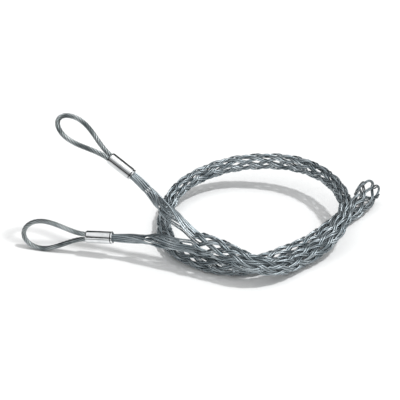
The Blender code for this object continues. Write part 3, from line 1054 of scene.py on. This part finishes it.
@dataclass
class Ferrule:
    """One oval press sleeve, rounder at the end that faces the eye."""

    shape: EyeShape
    width: float = 0.0134
    thickness: float = 0.0118
    rounding: float = 0.0022
    rounding_steps: int = 5
    chamfer: float = 0.0004
    chamfer_steps: int = 2
    sides: int = 64
    # Width and place round the sleeve of the painted reflection band
    painted_band_width: float = 0.0011
    painted_band_angle: float = math.radians(-90)
    lip: float = 0.0014
    lip_groove: float = 0.0010
    lip_depth: float = 0.0009
    # Rings of the lip's groove and reach of its painted shade from the middle, in shares of its width
    groove_profile: tuple[float, ...] = (0.0, 0.3, 0.7, 1.0)
    groove_shade_reach: float = 0.3
    bore_clearance: float = 0.0003
    bore_sides: int = 32
    # Share of the length past which the rims lie
    end_share: float = 0.49
    same_height: float = 0.00001
    smooth_angle: float = math.radians(32)

    def build(self, finish: Material) -> Object:
        """Makes the sleeve and cuts its bore.

        Args:
            finish: Material of the sleeve.

        Returns:
            The sleeve's object.
        """
        sleeve = self.shell()
        self.turn_lip(sleeve)
        self.mark_painted_light(sleeve)
        self.cut_bore(sleeve)
        sleeve.matrix_world = Matrix.Translation(Vector(SHIFT)) @ self.shape.matrix()
        select_only(sleeve)
        bpy.ops.object.transform_apply(location=True, rotation=True, scale=True)
        bpy.ops.object.shade_smooth_by_angle(angle=self.smooth_angle)
        sleeve.data.materials.clear()
        sleeve.data.materials.append(finish)
        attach(sleeve, "root")
        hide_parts(f"ferrule_{self.shape.seat.value}")
        LOG.info("ferrule %s: %d faces", self.shape.seat.value, len(sleeve.data.polygons))
        return sleeve

    def shell(self) -> Object:
        """Makes the oval cylinder with its two rims.

        Returns:
            The sleeve's object, still without its groove and its bore.
        """
        bpy.ops.object.select_all(action="DESELECT")
        bpy.ops.mesh.primitive_cylinder_add(vertices=self.sides, radius=0.5,
                                            depth=self.shape.ferrule_length)
        sleeve = bpy.context.object
        sleeve.name = sleeve.data.name = f"press_sleeve_{self.shape.seat.value}"
        sleeve.scale = (self.width, self.thickness, 1.0)
        bpy.ops.object.transform_apply(location=False, rotation=False, scale=True)
        end = self.shape.ferrule_length * self.end_share
        for side, width, segments in ((1, self.rounding, self.rounding_steps),
                                      (-1, self.chamfer, self.chamfer_steps)):
            edit_edges(sleeve, lambda z: z * side > end)
            bpy.ops.mesh.bevel(offset=width, offset_type="OFFSET", segments=segments, profile=0.5,
                               affect="EDGES")
            bpy.ops.object.mode_set(mode="OBJECT")
        return sleeve

    def turn_lip(self, sleeve: Object) -> None:
        """Presses a narrow groove round the sleeve, behind the lip at its mesh end.

        Args:
            sleeve: The sleeve's object.
        """
        select_only(sleeve)
        mesh_end = -self.shape.ferrule_length / 2
        rings = [mesh_end + self.lip + self.lip_groove * share for share in self.groove_profile]
        for height in rings:
            bpy.ops.object.mode_set(mode="EDIT")
            bpy.ops.mesh.select_all(action="SELECT")
            bpy.ops.mesh.bisect(plane_co=(0.0, 0.0, height), plane_no=(0.0, 0.0, 1.0))
            bpy.ops.object.mode_set(mode="OBJECT")
        for vertex in sleeve.data.vertices:
            if any(abs(vertex.co.z - height) < self.same_height for height in rings[1:3]):
                vertex.co.x *= 1 - self.lip_depth * 2 / self.width
                vertex.co.y *= 1 - self.lip_depth * 2 / self.thickness

    def mark_painted_light(self, sleeve: Object) -> None:
        """Marks the groove for its painted shade, and how far each vertex is from the two painted
        dark bands that stand in for reflections.

        Args:
            sleeve: The sleeve's object.
        """
        groove_middle = self.lip + self.lip_groove / 2 - self.shape.ferrule_length / 2
        painted_band_x = self.width / 2 * math.cos(self.painted_band_angle)
        groove_shades, painted_bands = [], []
        for vertex in sleeve.data.vertices:
            x, y, z = vertex.co
            # Painted shade in the lip's groove
            groove_shades.append(float(abs(z - groove_middle) < self.lip_groove * self.groove_shade_reach))
            # Offset from the painted reflection band on each side
            painted_bands.append((x - painted_band_x if y < 0 else x + painted_band_x) / (self.painted_band_width / 2))
        mark_vertices(sleeve.data, "groove_shade", groove_shades)
        mark_vertices(sleeve.data, "painted_band_offset", painted_bands)

    def cut_bore(self, sleeve: Object) -> None:
        """Cuts the bore that holds the rope's two legs.

        Args:
            sleeve: The sleeve's object.
        """
        height = self.shape.rope + 2 * self.bore_clearance
        shift = self.shape.leg_offset
        bpy.ops.object.select_all(action="DESELECT")
        bpy.ops.mesh.primitive_cylinder_add(vertices=self.bore_sides, radius=height / 2,
                                            depth=self.shape.ferrule_length * 2)
        cutter = bpy.context.object
        for vertex in cutter.data.vertices:
            vertex.co.x += math.copysign(shift, vertex.co.x)
        bore = sleeve.modifiers.new("bore", "BOOLEAN")
        bore.operation = "DIFFERENCE"
        bore.solver = "EXACT"
        bore.object = cutter
        select_only(sleeve)
        bpy.ops.object.modifier_apply(modifier="bore")
        bpy.data.objects.remove(cutter)


# Stage, light and camera

@dataclass
class Studio:
    """The pale floor, the light and the camera."""

    floor_size: float = 14.0
    floor_colour: Colour = (0.955, 0.96, 0.96)
    floor_roughness: float = 0.9
    elevation: float = math.radians(28)
    distance: float = 1.300
    metres_per_pixel: float = 0.00115
    target_pixel: Span = (198.0, 205.0)
    frame_pixels: int = 400
    sensor_millimetres: float = 36.0
    sun_strength: float = 1.6
    sun_angle: float = math.radians(5.5)
    sun_direction: tuple[float, float, float] = (-0.46, 0.08, -1.0)
    sky_strength: float = 1.04
    sky_lean: float = math.radians(20)
    sky_side: float = 0.12
    # Height and brightness of the sky's stops, first those that a ramp has from the start
    sky: tuple[Span, ...] = ((0.46, 0.03), (1.0, 1.0), (0.60, 0.75), (0.72, 1.0))

    def build(self) -> None:
        """Makes the floor, the light and the camera."""
        self.lay_floor()
        self.light()
        self.aim_camera()

    def lay_floor(self) -> None:
        """Makes the floor."""
        bpy.ops.object.select_all(action="DESELECT")
        bpy.ops.mesh.primitive_plane_add(size=self.floor_size, location=(0.0, 0.0, 0.0))
        floor = bpy.context.object
        floor.name = "floor"
        material = bpy.data.materials.new("pale floor")
        material.use_nodes = True
        shader = material.node_tree.nodes["Principled BSDF"]
        shader.inputs["Base Color"].default_value = (*self.floor_colour, 1.0)
        shader.inputs["Roughness"].default_value = self.floor_roughness
        shader.inputs["Specular IOR Level"].default_value = 0.0
        floor.data.materials.append(material)

    def light(self) -> None:
        """Makes the world and the key light."""
        world = bpy.data.worlds.new("studio")
        world.use_nodes = True
        bpy.context.scene.world = world
        tree = world.node_tree
        sky = tree.nodes["Background"]
        place = tree.nodes.new("ShaderNodeTexCoord")
        towards = tree.nodes.new("ShaderNodeVectorMath")
        towards.operation = "DOT_PRODUCT"
        brightest = (self.sky_side, -math.sin(self.sky_lean), math.cos(self.sky_lean))
        towards.inputs[1].default_value = brightest
        ramp = tree.nodes.new("ShaderNodeValToRGB")
        stops = ramp.color_ramp.elements
        for n, (height, level) in enumerate(self.sky):
            stop = stops[n] if n < len(stops) else stops.new(height)
            stop.position = height
            stop.color = (level, level, level, 1.0)
        tree.links.new(place.outputs["Generated"], towards.inputs[0])
        tree.links.new(towards.outputs["Value"], ramp.inputs["Fac"])
        tree.links.new(ramp.outputs["Color"], sky.inputs["Color"])
        sky.inputs["Strength"].default_value = self.sky_strength
        lamp = bpy.data.lights.new("key", "SUN")
        lamp.energy = self.sun_strength
        lamp.angle = self.sun_angle
        key = bpy.data.objects.new("key", lamp)
        key.rotation_euler = Vector(self.sun_direction).to_track_quat("-Z", "Y").to_euler()
        bpy.context.scene.collection.objects.link(key)

    def aim_camera(self) -> None:
        """Puts the camera where the photograph was taken from."""
        lens = bpy.data.cameras.new("photograph")
        focal_pixels = self.distance / self.metres_per_pixel
        lens.sensor_width = self.sensor_millimetres
        lens.lens = self.sensor_millimetres * focal_pixels / self.frame_pixels
        centre = self.frame_pixels / 2
        lens.shift_x = (centre - self.target_pixel[0]) / self.frame_pixels
        lens.shift_y = (self.target_pixel[1] - centre) / self.frame_pixels
        forward = Vector((0.0, math.cos(self.elevation), -math.sin(self.elevation)))
        camera = bpy.data.objects.new("photograph", lens)
        camera.location = Vector(SHIFT) - forward * self.distance
        camera.rotation_euler = forward.to_track_quat("-Z", "Y").to_euler()
        bpy.context.scene.collection.objects.link(camera)
        bpy.context.scene.camera = camera


def main() -> None:
    """Builds the grip's looks and the stage."""
    logging.basicConfig(level=logging.INFO, format="%(message)s")
    lower_lean, upper_roll = math.radians(13), math.radians(40)
    lower = EyeShape(
        seat=Seat.LOWER, eye_length=0.0700,
        centre=Vector((-0.1037, -0.1142, 0.0)), axis=Vector((-0.970, 0.224, -0.080)),
        width_axis=Vector((0.0, math.sin(lower_lean), math.cos(lower_lean))))
    lower.rest_on_surface()
    upper_axis = Vector((-0.787, 0.290, 0.545)).normalized()
    roll = Matrix.Rotation(upper_roll, 3, upper_axis)
    upper = EyeShape(
        seat=Seat.UPPER, eye_length=0.0655, centre=Vector((-0.0795, -0.0990, 0.0980)),
        axis=upper_axis, width_axis=roll @ Vector((0.617, 0.369, 0.695)))
    weave = Weave()
    bundles = [Bundle(weave, bands=(5, 0, 1), middle=0.0, eye=lower),
               Bundle(weave, bands=(2, 3, 4), middle=math.pi, eye=upper)]
    lay, weather = build_lay_group(), build_weather_group()
    wire = GalvanisedWire().build(lay, weather)
    rope_wire = GalvanisedWire(name="galvanised rope wire", lay_length=0.006,
                               light=(0.66, 0.71, 0.72), dark=(0.14, 0.165, 0.17)).build(lay, weather)
    aluminium = PressedAluminium().build(weather)

    WovenTube(weave, bundles).build(wire)
    for eye in (lower, upper):
        RopeEye(eye).build(rope_wire)
    Ferrule(lower, painted_band_angle=math.radians(-98)).build(aluminium)
    Ferrule(upper, painted_band_width=0.0026, painted_band_angle=math.radians(-139)).build(aluminium)
    Studio().build()
    scene = bpy.context.scene
    scene.view_settings.view_transform = "Standard"


if __name__ == "__main__":
    main()
